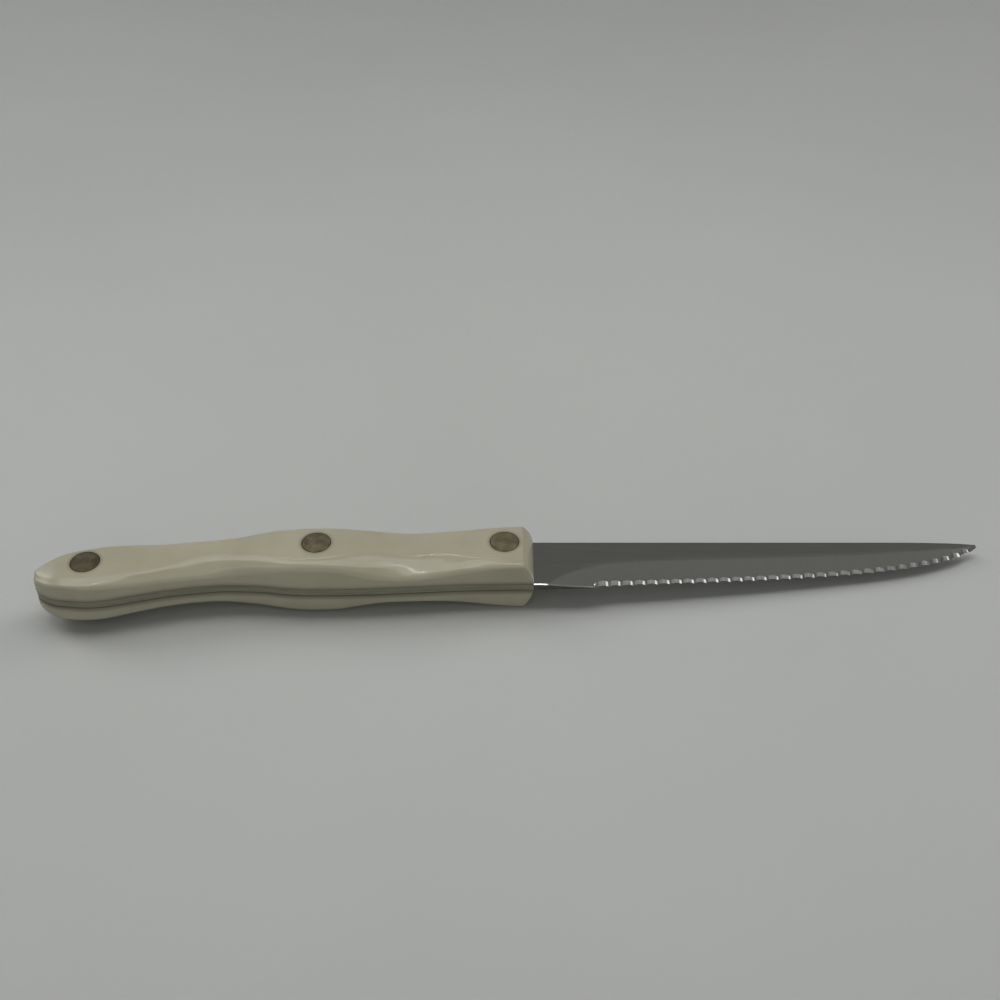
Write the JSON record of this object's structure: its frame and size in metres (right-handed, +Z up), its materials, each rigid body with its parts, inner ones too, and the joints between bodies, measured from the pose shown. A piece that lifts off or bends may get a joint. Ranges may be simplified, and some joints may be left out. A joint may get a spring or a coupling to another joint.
{
  "type": "kitchen utility knife",
  "caption": "Full-tang kitchen utility knife with a straight-spined serrated blade and a contoured ivory handle of riveted scales, lying on its side.",
  "frame": {"origin": "middle of the knife's footprint, on the surface that it lies on", "axes": "+X from butt to tip, +Y from cutting edge to spine, +Z up, square to the blade's side"},
  "size_m": [0.2572, 0.0244, 0.0178],
  "materials": {
    "blade_steel": "satin ground stainless steel",
    "ivory_resin": "polished ivory resin",
    "nickel_silver": "worn, ground flush with the handle"
  },
  "bodies": {
    "root": {"blade": "blade_steel", "upper_scale": "ivory_resin", "lower_scale": "ivory_resin", "rivet_front_socket": "nickel_silver", "rivet_front_pin": "nickel_silver", "rivet_middle_socket": "nickel_silver", "rivet_middle_pin": "nickel_silver", "rivet_butt_socket": "nickel_silver", "rivet_butt_pin": "nickel_silver"}
  },
  "joints": []
}
